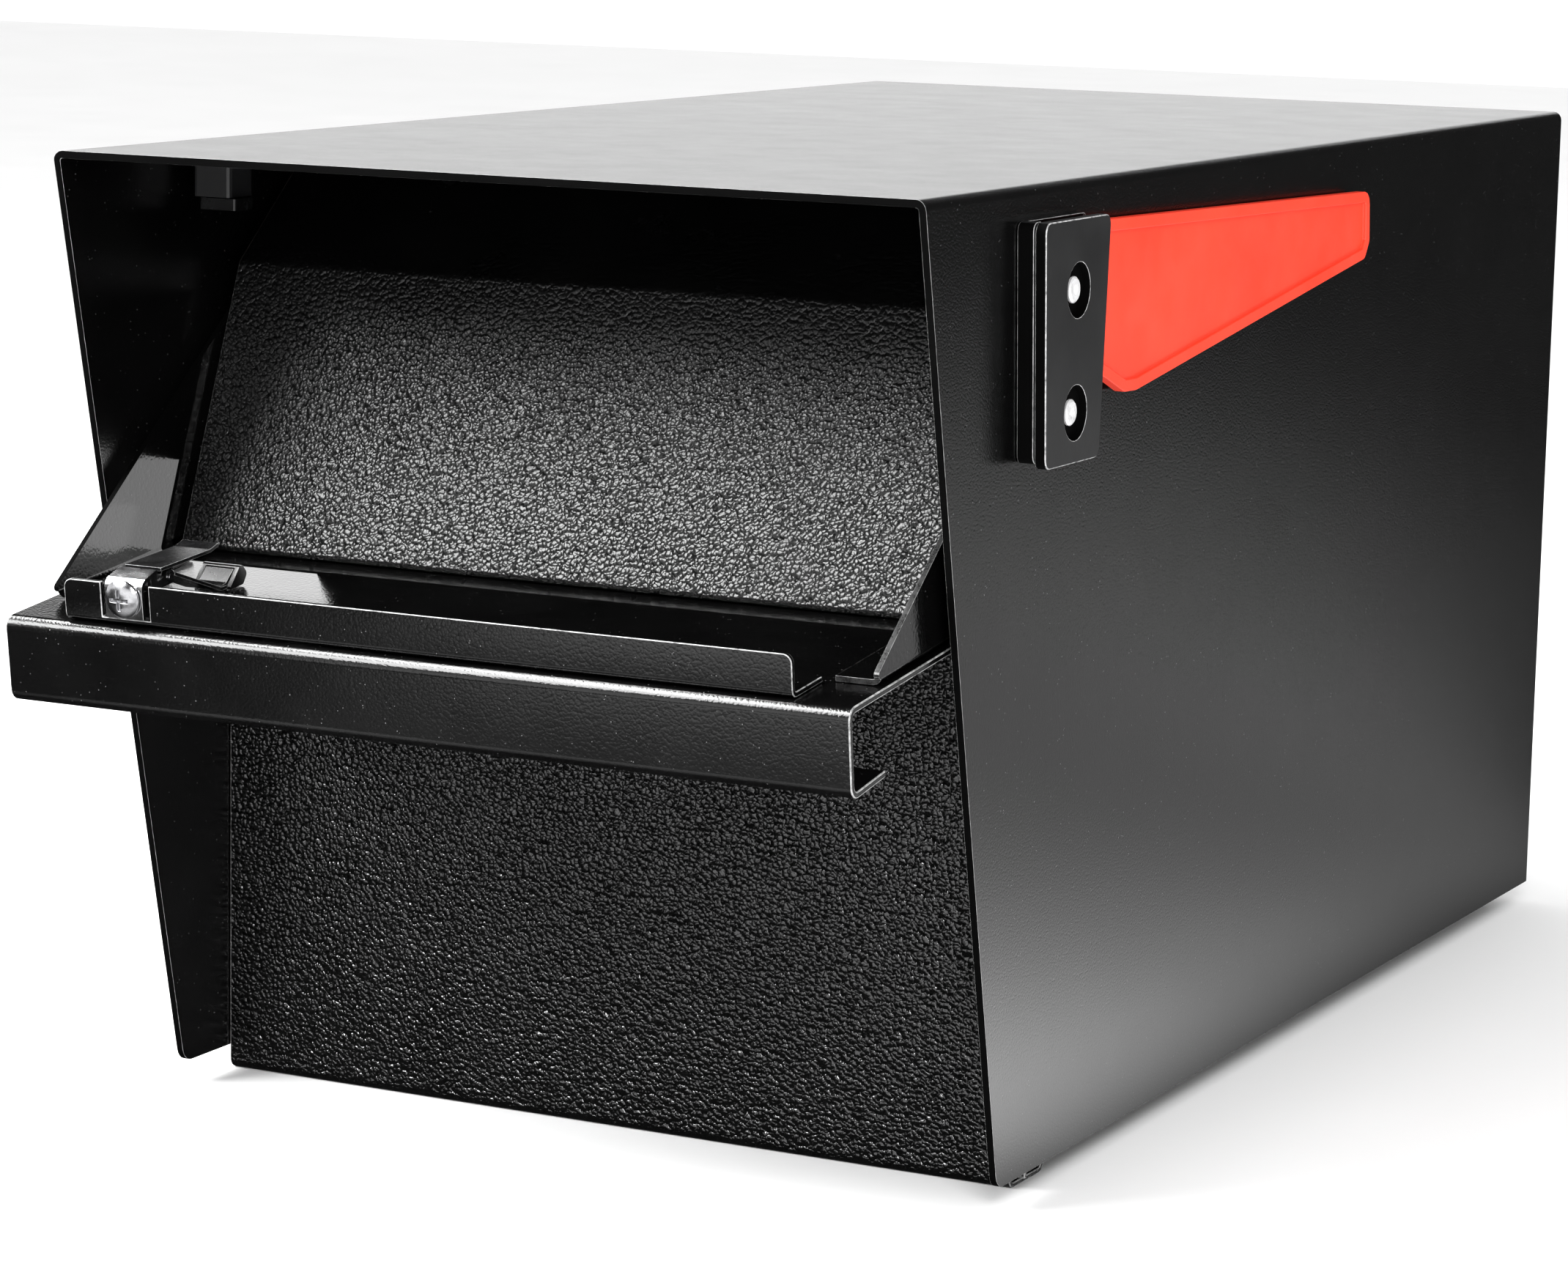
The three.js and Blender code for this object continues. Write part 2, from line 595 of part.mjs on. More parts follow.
add('clip_bracket', clipBracket(), chrome, hopper);
add('clip_screw', clipScrew(), chrome, hopper);
add('clip_backer', clipBacker(), blackPaint, hopper);
add('clip_pin', turned('x', [
  [0, clipLeft - 0.5],
  [PIN_RADIUS, clipLeft - 0.5],
  [PIN_RADIUS, clipRight + 0.5],
  [0, clipRight + 0.5],
], 12, 0, pivot.x, pivot.y), zinc, hopper);
add('clip_spring', extrude(
  'x',
  circle(1.95, 14, pivot.x, pivot.y),
  CLIP_X - 2.1,
  CLIP_X + 2.1,
  [circle(PIN_RADIUS + GAP, 14, pivot.x, pivot.y)],
), darkSteel, hopper);
add('clip_lever', clipLever(), darkSteel, hopper);
add('clip_pad', clipPad(), rubber, hopper);

// ---------------------------------------------------------------- stops and catches

function hopperStop(side) {
  const profile = [[0, 129.7], [3.2, 129.7], [4, 130.5], [4, SIDE_IN - GAP], [0, SIDE_IN - GAP]];
  const along = tray(85, -5.9 - 0.3);
  const c = Math.cos(OPEN_TILT);
  const s = Math.sin(OPEN_TILT);
  const y = HOPPER_AXIS_Y + along.x * c - along.y * s;
  const z = HOPPER_AXIS_Z + along.x * s + along.y * c;
  const stop = turned('x', profile, 16, 0, 0, 0);
  if (side < 0) stop.rotateZ(Math.PI);
  return stop.translate(0, y, z);
}

function catchBlock(side) {
  const x = side * CATCH.x;
  const outline = roundedLoop(rectangle(
    x - CATCH.half,
    x + CATCH.half,
    CATCH.y,
    CATCH.y + CATCH.depth,
  ), 1.2, 2);
  return extrude('z', outline, CATCH.bottom, CEILING - GAP);
}

function catchMagnet(side) {
  const x = side * MAGNET.x;
  const outline = roundedLoop(rectangle(
    x - MAGNET.half,
    x + MAGNET.half,
    MAGNET.y,
    MAGNET.y + MAGNET.depth,
  ), 0.8, 2);
  return extrude('z', outline, MAGNET.bottom, MAGNET.top);
}

[['left', -1], ['right', 1]].forEach(([name, side]) => {
  add(`hopper_stop_${name}`, hopperStop(side), rubber);
  add(`catch_block_${name}`, catchBlock(side), blackPlastic);
  add(`catch_magnet_${name}`, catchMagnet(side), darkSteel);
});

// ---------------------------------------------------------------- flag and holder

function holderOutline(inset = 0, drop = 0) {
  return roundedLoop([
    point(HOLDER.y - HOLDER.halfBottom + inset, HOLDER.bottom - drop + inset),
    point(HOLDER.y + HOLDER.halfBottom - inset, HOLDER.bottom - drop + inset),
    point(HOLDER.y + HOLDER.halfTop - inset, HOLDER.top - inset),
    point(HOLDER.y - HOLDER.halfTop + inset, HOLDER.top - inset),
  ], HOLDER.corner, 4);
}

function flagBase() {
  const plateOut = HOLDER_X + 1.2;
  const plate = extrude('x', holderOutline(), HOLDER_X, plateOut);
  const full = extrude('x', holderOutline(), HOLDER_X, FLAG_RIM_OUT);
  const room = extrude('x', [
    point(FLAG_Y - HUB - 0.4, HOLDER.bottom + 3),
    point(FLAG_Y + 60, HOLDER.bottom + 3),
    point(FLAG_Y + 60, HOLDER.top + 10),
    point(FLAG_Y - HUB - 0.4, HOLDER.top + 10),
  ], plateOut, FLAG_RIM_OUT + 5);
  const boss = extrude('x', circle(5.5, 16, FLAG_Y, LOWER_SCREW_Z), plateOut - 0.5, FLAG_RIM_OUT);
  const holes = [FLAG_Z, LOWER_SCREW_Z].map((z) =>
    extrude('x', circle(2.4, 12, FLAG_Y, z), HOLDER_X - 2, FLAG_RIM_OUT + 2));
  return cut(join(plate, cut(full, room), boss), ...holes);
}

function flagCover() {
  const edge = 0.5;
  const shape = new THREE.Shape(holderOutline(edge, COVER_DROP));
  const bevel = { depth: COVER_OUT - COVER_X - 2 * edge, bevelThickness: edge, bevelSize: edge, bevelSegments: 2 };
  const shell = new THREE.ExtrudeGeometry(shape, bevel);
  shell.translate(0, 0, edge);
  shell.applyMatrix4(new THREE.Matrix4().makeBasis(...AXES.x));
  shell.translate(COVER_X, 0, 0);
  const recessFloor = 143;
  const cuts = [FLAG_Z, LOWER_SCREW_Z].flatMap((z) => [
    extrude('x', circle(7.7, 24, FLAG_Y, z), recessFloor, COVER_OUT + 2),
    extrude('x', circle(2.4, 12, FLAG_Y, z), COVER_X - 2, recessFloor + 1),
  ]);
  return cut(shell, ...cuts);
}

// The flag's outline, or one inside it: a runs back from the pivot and b up, at rest
function flagOutline(inset = 0) {
  const corners = [
    [29.7, -27.1, 0],
    [43.5, -32.3, 2.5],
    [52, -32.6, 3],
    [236.5, -8.2, 3],
    [240.2, -3, 3],
    [238.8, 13, 4.5],
  ];
  const hub = arc(point(0, 0), HUB, 88, 252, 14);
  const sharp = corners.map(([a, b]) => point(a, b)).concat(hub);
  const radii = corners.map(([, , radius]) => (radius > 0 ? Math.max(radius - inset, 0.6) : 0));
  const edge = roundedLoop(offsetLoop(sharp, -inset), radii.concat(hub.map(() => 0)), 3);
  return edge.map((p) => point(p.x + FLAG_Y, p.y + FLAG_Z));
}

function flag() {
  const outline = flagOutline();
  const plate = extrude('x', outline, FLAG_X, FLAG_X + FLAG_PLATE);
  const rim = cut(
    extrude('x', outline, FLAG_X + FLAG_PLATE - 0.2, FLAG_RIM_OUT),
    extrude('x', flagOutline(FLAG_RIM), FLAG_X, FLAG_RIM_OUT + 2),
    block(FLAG_X, FLAG_RIM_OUT + 2, FLAG_Y - 40, FLAG_Y + 12, FLAG_Z - 60, FLAG_Z + 60),
  );
  const hole = extrude('x', circle(3.7, 16, FLAG_Y, FLAG_Z), FLAG_X - 2, FLAG_RIM_OUT + 2);
  return cut(join(plate, rim), hole);
}

// A screw through the holder and the side panel, its low round head in the cover's recess
function flagScrew(z) {
  const shankEnd = 131.3;
  const seat = 143 + GAP;
  const profile = [
    [0, shankEnd], [2, shankEnd], [2, seat], [3.7, seat], [3.7, seat + 0.6], [3.1, seat + 1.1], [0, seat + 1.2],
  ];
  const socket = extrude('x', circle(1.7, 6, 0, 0), seat + 0.5, seat + 3);
  return cut(turned('x', profile, 18), socket).translate(0, FLAG_Y, z);
}

add('flag_base', flagBase(), blackPlastic);
add('flag_cover', flagCover(), blackPlastic);
add('flag', flag(), orange);
add('flag_bush', extrude('x', circle(3.4, 16, FLAG_Y, FLAG_Z), FLAG_X, FLAG_RIM_OUT, [
  circle(2.35, 16, FLAG_Y, FLAG_Z),
]), zinc);
add('flag_washer', extrude('x', circle(8.5, 20, FLAG_Y, FLAG_Z), FLAG_X + FLAG_PLATE + GAP, FLAG_RIM_OUT, [
  circle(3.75, 20, FLAG_Y, FLAG_Z),
]), zinc);
[['pivot', FLAG_Z], ['lower', LOWER_SCREW_Z]].forEach(([name, z]) => {
  add(`flag_${name}_screw`, flagScrew(z), chrome);
  add(`flag_${name}_nut`, hexNut('x', 7, 2.35, SIDE_IN - GAP - 2.6, SIDE_IN - GAP, FLAG_Y, z), zinc);
});

// ---------------------------------------------------------------- rear opening and door

function rearFrame() {
  const loop = (by, corner) => roundedLoop(
    rectangle(-INNER + by, INNER - by, FRAME.bottom + by, FRAME.top - by),
    corner,
    2,
  );
  const tube = extrude('y', loop(0, 2), FRAME_FRONT, FRAME.face, [loop(SHEET, 0.6).reverse()]);
  const face = extrude('y', loop(0, 2), FRAME.face - SHEET, FRAME.face, [loop(FRAME.flange, 4).reverse()]);
  return join(tube, face);
}

function rearGasket() {
  const half = INNER - GASKET.inset;
  const top = FRAME.top - GASKET.inset;
  const loop = (by, corner) =>
    roundedLoop(rectangle(-half + by, half - by, GASKET.bottom + by, top - by), corner, 3);
  return extrude('y', loop(0, 6), FRAME.face + GAP, GASKET.rear, [loop(GASKET.width, 4).reverse()]);
}

function rearDoor() {
  const { half, bottom, top, inner, outer, pan } = REAR_DOOR;
  const outline = roundedLoop(rectangle(-half, half, bottom, top), 3, 3);
  const hollow = roundedLoop(rectangle(-half + SHEET, half - SHEET, bottom + SHEET, top - SHEET), 1.5, 3);
  const plate = extrude('y', outline, inner, outer);
  const wall = extrude('y', outline, inner - pan, inner + 0.5, [hollow.reverse()]);
  const hole = extrude('y', circle(9.5, 20, 0, LOCK_Z), inner - 2, outer + 2);
  return cut(join(plate, wall), hole);
}

add('rear_frame', rearFrame(), blackPaint);
add('rear_gasket', rearGasket(), rubber);
add('rear_door', rearDoor(), blackPaint);

const rearFixed = add('rear_hinge_fixed', hingeLeaf(
  REAR_HINGE,
  0,
  rectangle(-26, -3.9, -2.9, -1.7),
  rectangle(-4.2, -1.5, -2.9, -1.7),
), blackPaint);
rearFixed.position.set(0, REAR_AXIS_Y, REAR_AXIS_Z);

const rearMoving = add('rear_hinge_moving', hingeLeaf(
  REAR_HINGE,
  1,
  rectangle(-2.8, -1.6, 3.8, 22),
  rectangle(-2.8, -1.6, 1.7, 4.1),
), blackPaint);
rearMoving.position.set(0, REAR_AXIS_Y, REAR_AXIS_Z);

const pinEnd = REAR_HINGE.half + GAP;
const rearPin = add('rear_hinge_pin', turned('x', [
  [0, -pinEnd - 1.4],
  [2.6, -pinEnd - 1.4],
  [2.9, -pinEnd],
  [REAR_HINGE.rod, -pinEnd],
  [REAR_HINGE.rod, pinEnd],
  [2.9, pinEnd],
  [2.6, pinEnd + 1.4],
  [0, pinEnd + 1.4],
], 12), zinc);
rearPin.position.set(0, REAR_AXIS_Y, REAR_AXIS_Z);

// ---------------------------------------------------------------- cam lock, turning on the y axis

// Places along y behind the roof's front edge
const LOCK = { rear: 512, doorFace: 528.2, head: 530.6, plugFace: 530.9, plugRear: 511.7, tang: 508.9 };
const behind = (distance) => FRONT + distance;

function lockBody() {
  const bore = 6.1;
  const profile = [
    [bore, behind(LOCK.rear)],
    [9, behind(LOCK.rear)],
    [9, behind(LOCK.doorFace)],
    [11.2, behind(LOCK.doorFace)],
    [11.2, behind(LOCK.head - 0.7)],
    [10.4, behind(LOCK.head)],
    [bore, behind(LOCK.head)],
    [bore, behind(LOCK.rear)],
  ];
  return turned('y', profile, 24, 0, 0, LOCK_Z);
}

function lockPlug() {
  const profile = [
    [0, behind(LOCK.tang)],
    [3, behind(LOCK.tang)],
    [3, behind(LOCK.plugRear)],
    [5.7, behind(LOCK.plugRear)],
    [5.7, behind(LOCK.plugFace)],
    [0, behind(LOCK.plugFace)],
  ];
  const keyway = block(-0.7, 0.7, behind(LOCK.plugFace - 9), behind(LOCK.plugFace + 1), LOCK_Z - 3.6, LOCK_Z + 3.2);
  const thread = extrude('y', circle(1.9, 12, 0, LOCK_Z), behind(LOCK.tang - 1), behind(LOCK.tang + 6));
  return cut(turned('y', profile, 20, 0, 0, LOCK_Z), keyway, thread);
}

function lockCam() {
  const reach = 24;
  const halfWidth = 6;
  const outline = [
    ...arc(point(reach - 3, LOCK_Z + halfWidth - 3), 3, 90, 0, 3).reverse(),
    ...arc(point(0, LOCK_Z), halfWidth, 90, 270, 10),
    ...arc(point(reach - 3, LOCK_Z - halfWidth + 3), 3, 270, 360, 3),
  ];
  return extrude('y', outline, behind(LOCK.plugRear - 2.3), behind(LOCK.plugRear - 0.3), [
    circle(3.3, 14, 0, LOCK_Z),
  ]);
}

function lockCamScrew() {
  const seat = LOCK.tang - GAP;
  const profile = [
    [0, behind(seat - 2.2)],
    [3.6, behind(seat - 1.8)],
    [4.2, behind(seat - 0.6)],
    [4.2, behind(seat)],
    [1.5, behind(seat)],
    [1.5, behind(seat + 5)],
    [0, behind(seat + 5)],
  ];
  return turned('y', profile, 14, 0, 0, LOCK_Z);
}

function lockStrike() {
  const tab = behind(LOCK.rear + 0.2 + SHEET / 2);
  const line = [point(tab, 265.8), point(tab, 276.5), point(FRAME.face - SHEET - GAP, 276.5)];
  return extrude('x', ribbon(roundedLine(line, 2, 3), SHEET), -20, 20);
}

add('lock_body', lockBody(), chrome);
add('lock_nut', extrude('y', circle(23 / Math.sqrt(3), 6, 0, LOCK_Z), behind(522.6), behind(526.1), [
  circle(9.35, 24, 0, LOCK_Z),
]), zinc);
add('lock_plug', lockPlug(), brass);
add('lock_cam', lockCam(), zinc);
add('lock_cam_screw', lockCamScrew(), zinc);
add('lock_strike', lockStrike(), blackPaint);

export default parcelBox;
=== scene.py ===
"""Looks of the parcel drop box: powder-coated sheet steel, moulded plastics and plated hardware.

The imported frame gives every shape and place. This script rounds the edges, gives each piece its
material, and sets up the camera and the studio.
"""
import json
import math

import bmesh
import bpy
from mathutils import Matrix, Vector


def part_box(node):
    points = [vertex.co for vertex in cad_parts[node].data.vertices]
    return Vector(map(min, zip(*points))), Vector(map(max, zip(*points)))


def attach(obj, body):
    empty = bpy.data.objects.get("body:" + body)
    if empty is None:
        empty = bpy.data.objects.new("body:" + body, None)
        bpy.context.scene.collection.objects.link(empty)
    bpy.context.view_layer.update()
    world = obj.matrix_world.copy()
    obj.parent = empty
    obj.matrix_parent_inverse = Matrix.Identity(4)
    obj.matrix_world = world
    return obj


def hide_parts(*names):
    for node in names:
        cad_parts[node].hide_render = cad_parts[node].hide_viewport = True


MM = 0.001
SCENE = bpy.context.scene
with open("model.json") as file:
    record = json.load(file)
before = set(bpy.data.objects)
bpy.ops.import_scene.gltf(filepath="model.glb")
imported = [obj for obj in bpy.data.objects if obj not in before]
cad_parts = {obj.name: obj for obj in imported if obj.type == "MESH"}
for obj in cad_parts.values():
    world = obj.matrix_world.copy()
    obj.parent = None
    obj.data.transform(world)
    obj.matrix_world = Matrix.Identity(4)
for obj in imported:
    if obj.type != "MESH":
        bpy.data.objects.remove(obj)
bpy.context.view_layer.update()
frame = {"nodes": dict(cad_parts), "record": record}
NODES = frame["nodes"]
BODIES = frame["record"]["behaviour"]["bodies"]
BODY_OF = {node: body for body, names in BODIES.items() for node in names}


# ---------------------------------------------------------------- camera

# the camera's axes and place, solved from the straight edges in the photo
CAMERA_RIGHT = Vector((0.89133866, 0.4529234, 0.01938552))
CAMERA_DOWN = Vector((0.09225973, -0.13936536, -0.98593379))
CAMERA_FORWARD = Vector((-0.44385081, 0.8805894, -0.16600832))
CAMERA_PLACE = (0.661477, -1.382259, 0.379760)
SENSOR_MM = 36.0
LENS_MM = 109.88
NEAR_CLIP = 0.05
FAR_CLIP = 50.0

camera = bpy.data.objects.new("camera", bpy.data.cameras.new("camera"))
camera.data.sensor_fit = "HORIZONTAL"
camera.data.sensor_width = SENSOR_MM
camera.data.lens = LENS_MM
camera.data.clip_start = NEAR_CLIP
camera.data.clip_end = FAR_CLIP
camera_axes = Matrix((CAMERA_RIGHT, -CAMERA_DOWN, -CAMERA_FORWARD)).transposed()
camera.matrix_world = Matrix.Translation(CAMERA_PLACE) @ camera_axes.to_4x4()
SCENE.collection.objects.link(camera)
SCENE.camera = camera
SCENE.view_settings.view_transform = "Standard"


# ---------------------------------------------------------------- shader helpers

class Shader:
    """A material's node tree, with short calls for the nodes used here."""

    def __init__(self, name):
        self.material = bpy.data.materials.new(name)
        self.material.use_nodes = True
        self.tree = self.material.node_tree
        self.bsdf = self.tree.nodes["Principled BSDF"]
        self.place = self.node("ShaderNodeTexCoord").outputs["Object"]

    def node(self, kind, **settings):
        """A new node of this kind, with its settings made."""
        made = self.tree.nodes.new(kind)
        for key, value in settings.items():
            setattr(made, key, value)
        return made

    def link(self, source, socket):
        """Feed an output into an input."""
        self.tree.links.new(source, socket)

    def put(self, value, socket):
        """Set an input to a number, or feed an output into it."""
        if isinstance(value, (int, float)):
            socket.default_value = value
        else:
            self.link(value, socket)

    def noise(self, size, detail=2.0, roughness=0.5, place=None):
        """Noise whose features are about size metres across, from 0 to 1."""
        made = self.node("ShaderNodeTexNoise")
        made.inputs["Scale"].default_value = 1.0 / size
        made.inputs["Detail"].default_value = detail
        made.inputs["Roughness"].default_value = roughness
        self.link(place or self.place, made.inputs["Vector"])
        return made.outputs["Fac"]

    def warped(self, size, amount):
        """Object coordinates pushed about by noise, so that cells lose their regular look."""
        noise = self.noise(size, detail=1.0).node
        shift = self.node("ShaderNodeVectorMath", operation="MULTIPLY_ADD")
        shift.inputs[1].default_value = (amount, amount, amount)
        self.link(noise.outputs["Color"], shift.inputs[0])
        self.link(self.place, shift.inputs[2])
        return shift.outputs["Vector"]

    def stretched(self, factors):
        """Object coordinates scaled along each axis, for marks longer than they are wide."""
        scaled = self.node("ShaderNodeVectorMath", operation="MULTIPLY")
        scaled.inputs[1].default_value = factors
        self.link(self.place, scaled.inputs[0])
        return scaled.outputs["Vector"]

    def cells(self, size, place=None):
        """Distance to the nearest cell centre, in cells: pebbles about size metres across."""
        made = self.node("ShaderNodeTexVoronoi", feature="F1")
        made.inputs["Scale"].default_value = 1.0 / size
        self.link(place or self.place, made.inputs["Vector"])
        return made.outputs["Distance"]

    def ranged(self, value, source, target, smooth=False):
        """The value moved from the source range to the target range, and held inside it."""
        made = self.node("ShaderNodeMapRange",
                         interpolation_type="SMOOTHSTEP" if smooth else "LINEAR")
        for key, number in zip(("From Min", "From Max", "To Min", "To Max"), (*source, *target)):
            made.inputs[key].default_value = number
        self.link(value, made.inputs["Value"])
        return made.outputs["Result"]

    def math(self, operation, *values):
        """An operation on sockets and numbers."""
        made = self.node("ShaderNodeMath", operation=operation)
        for socket, value in zip(made.inputs, values):
            self.put(value, socket)
        return made.outputs["Value"]

    def mixed(self, share, first, second):
        """The first value where share is 0, the second where it is 1."""
        made = self.node("ShaderNodeMix", data_type="FLOAT")
        self.link(share, made.inputs[0])
        self.link(first, made.inputs[2])
        self.link(second, made.inputs[3])
        return made.outputs[0]

    def ramp(self, value, *stops):
        """A colour ramp through (position, (r, g, b)) stops."""
        made = self.node("ShaderNodeValToRGB")
        band = made.color_ramp
        band.elements[0].position = stops[0][0]
        band.elements[1].position = stops[-1][0]
        for position, colour in stops[1:-1]:
            band.elements.new(position)
        for element, (position, colour) in zip(band.elements, stops):
            element.color = (*colour, 1.0)
        self.link(value, made.inputs["Fac"])
        return made.outputs["Color"]

    def bump(self, height, depth, under=None):
        """A bumped normal, depth metres for a height of 1, on top of the normal under it."""
        made = self.node("ShaderNodeBump")
        made.inputs["Distance"].default_value = depth
        self.link(height, made.inputs["Height"])
        if under:
            self.link(under, made.inputs["Normal"])
        return made.outputs["Normal"]

    def finish(self, colour, roughness, normal, **sockets):
        """Feed the surface shader, set its other sockets and hand over the material."""
        self.link(colour, self.bsdf.inputs["Base Color"])
        self.link(roughness, self.bsdf.inputs["Roughness"])
        self.link(normal, self.bsdf.inputs["Normal"])
        for key, value in sockets.items():
            self.bsdf.inputs[key.replace("_", " ")].default_value = value
        return self.material


def grey(level):
    """A neutral colour."""
    return (level, level, level)


# ---------------------------------------------------------------- materials

COAT_DARK = grey(0.0012)
COAT_LIGHT = grey(0.003)
# painted glint: the light grey that the coat's scattered small dots take
COAT_PAINTED_GLINT = grey(0.13)
PIMPLE_SPACING = 0.0015
PIMPLE_RIM = (0.06, 0.17)      # where a dot falls away from its middle outwards, in cells
PIMPLE_PATCHES = (0.46, 0.62)  # noise levels over which dots come in


def coat(name, grain, relief, rough, fine=0.25, pimples=0.0, cloud=0.04, ior=1.5):
    """Textured black powder coat: glossy domed pebbles grain metres across and relief metres high.

    fine is the height of the finer roughness on them and pimples that of scattered small dots,
    both in pebbles, and cloud is how far the roughness drifts to each side of rough. The dots
    glint through their bumps
    and also carry a painted glint: their colour is raised to a light grey.
    """
    s = Shader(name)
    distance = s.cells(grain, s.warped(grain * 1.7, grain * 1.1))
    dome = s.math("SUBTRACT", 1.0, s.math("MULTIPLY", distance, distance))
    height = s.math("MULTIPLY_ADD", s.noise(grain * 0.55, detail=1.0), fine, dome)
    drift = s.ranged(s.noise(0.035, detail=5.0, roughness=0.6), (0.3, 0.75), (0.0, 0.3))
    if pimples:
        dots = s.ranged(s.cells(PIMPLE_SPACING), PIMPLE_RIM, (1.0, 0.0), smooth=True)
        patches = s.ranged(s.noise(PIMPLE_SPACING * 2, detail=3.0), PIMPLE_PATCHES, (0.0, 1.0))
        dots = s.math("MULTIPLY", dots, patches)
        height = s.math("ADD", height, s.math("MULTIPLY", dots, pimples))
        # the dots also raise the colour towards the light grey: a painted glint on each dot
        drift = s.math("MAXIMUM", drift, dots)
    colour = s.ramp(drift, (0.0, COAT_DARK), (0.3, COAT_LIGHT), (1.0, COAT_PAINTED_GLINT))
    clouds = s.noise(0.02, detail=4.0, roughness=0.65)
    roughness = s.ranged(clouds, (0.25, 0.75), (rough - cloud, rough + cloud))
    return s.finish(colour, roughness, s.bump(height, relief), IOR=ior)


def painted_edge_highlight(name, low, high):
    """A painted highlight for a rounded or cut edge: grey from low to high in broken patches."""
    s = Shader(name)
    highlight_patches = s.noise(0.0025, detail=5.0, roughness=0.7)
    colour = s.ramp(highlight_patches, (0.32, grey(low)), (0.62, grey(high)))
    roughness = s.ranged(highlight_patches, (0.3, 0.7), (0.22, 0.36))
    return s.finish(colour, roughness, s.bump(s.noise(0.0012), 0.00005), IOR=1.5)


def plastic(name, dark, light, rough, relief=0.00001, **sockets):
    """Satin moulded plastic: faint colour drift, a fine mould texture and slow flow marks."""
    s = Shader(name)
    flow = s.noise(0.03, detail=3.0, roughness=0.55, place=s.stretched((1.0, 0.6, 1.0)))
    colour = s.ramp(flow, (0.3, dark), (0.72, light))
    clouds = s.noise(0.012, detail=4.0, roughness=0.6)
    roughness = s.ranged(clouds, (0.3, 0.7), (rough - 0.04, rough + 0.06))
    waves = s.bump(s.noise(0.02, detail=1.0), 0.00012)
    normal = s.bump(s.noise(0.0007), relief, under=waves)
    return s.finish(colour, roughness, normal, IOR=1.47, **sockets)


def metal(name, dark, light, rough, metallic=1.0):
    """Plated or turned metal: a fine mottle, cloudy plating and small pits."""
    s = Shader(name)
    marks = s.noise(0.0012, detail=4.0, roughness=0.7)
    clouds = s.noise(0.006, detail=3.0, roughness=0.6)
    mottle = s.math("MULTIPLY", s.math("ADD", marks, clouds), 0.5)
    colour = s.ramp(mottle, (0.35, dark), (0.65, light))
    roughness = s.ranged(clouds, (0.3, 0.7), (rough - 0.05, rough + 0.08))
    return s.finish(colour, roughness, s.bump(marks, 0.00001), Metallic=metallic)


def foam(name):
    """Closed-cell foam strip: dull black with open pinholes."""
    s = Shader(name)
    pores = s.cells(0.0011, s.warped(0.003, 0.0008))
    colour = s.ramp(pores, (0.1, grey(0.008)), (0.5, (0.022, 0.022, 0.023)))
    roughness = s.ranged(pores, (0.0, 0.6), (0.95, 0.8))
    return s.finish(colour, roughness, s.bump(pores, 0.0003), IOR=1.4)


COARSE = coat("coat_coarse", grain=0.00125, relief=0.00032, rough=0.25, fine=0.1)
HEAVY = coat("coat_heavy", grain=0.0014, relief=0.0006, rough=0.14, fine=0.06, ior=1.75)
MEDIUM = coat("coat_medium", grain=0.0009, relief=0.00003, rough=0.15, pimples=1.5)
SMOOTH = coat("coat_smooth", grain=0.0011, relief=0.00003, rough=0.13, pimples=0.4)
FINE = coat("coat_fine", grain=0.0007, relief=0.000032, rough=0.23, pimples=0.3, cloud=0.012)
# painted highlights on edges: a lit grey for most roundings, a brighter copy for the housing's, a
# dimmer copy for the right wing's cut faces, and one for the arrises of the plastics and the
# clip's lever
EDGE_HIGHLIGHT = painted_edge_highlight("coat_edge_painted_highlight", 0.05, 0.42)
BRIGHT_EDGE_HIGHLIGHT = painted_edge_highlight("coat_edge_bright", 0.2, 0.75)
DIM_EDGE_HIGHLIGHT = painted_edge_highlight("coat_edge_dull", 0.004, 0.03)
ARRIS_HIGHLIGHT = painted_edge_highlight("moulded_arris_painted_highlight", 0.12, 0.5)
PLASTIC = plastic("satin_black_plastic", (0.009, 0.009, 0.0095), (0.019, 0.019, 0.0195), 0.34)
# painted shade: near black and barely reflecting, for the recesses around the flag screws, the
# flag holder's front side, the left wing's roundings and cut faces, and the housing's cut faces
SHADE_BLACK = plastic("painted_shade_black", grey(0.0005), grey(0.001), 0.8, Specular_IOR_Level=0.05)
ORANGE = plastic("flag_orange_plastic", (0.93, 0.042, 0.014), (0.99, 0.056, 0.022), 0.38)
VINYL = plastic("dipped_vinyl", grey(0.004), grey(0.008), 0.14, relief=0.000004)
ZINC = metal("bright_zinc", (0.42, 0.42, 0.43), (0.62, 0.62, 0.64), 0.22)
PLATED = metal("nickel_plate", grey(0.5), (0.78, 0.78, 0.79), 0.18)
SPRING = metal("oiled_spring_steel", grey(0.004), (0.012, 0.012, 0.0125), 0.24, metallic=0.2)
SCREW = metal("passivated_zinc", grey(0.6), (0.85, 0.85, 0.86), 0.3, metallic=0.3)
BRASS = metal("turned_brass", (0.42, 0.27, 0.1), (0.6, 0.42, 0.2), 0.25)
FOAM = foam("gasket_foam")

# the material of a CAD node that stays, by the slot in its CAD material's name
SLOT_MATERIALS = {
    "black_coat": MEDIUM,
    "black_plastic": PLASTIC,
    "zinc": ZINC,
    "plated": PLATED,
    "dark_steel": SPRING,
    "vinyl": VINYL,
    "foam": FOAM,
    "brass": BRASS,
}


# ---------------------------------------------------------------- pieces

MERGE_DISTANCE = 2e-6
FLAT_ANGLE = math.radians(0.4)    # facets that differ by less than this are one flat
SHARP_ANGLE = math.radians(35.0)  # edges sharper than this are rounded


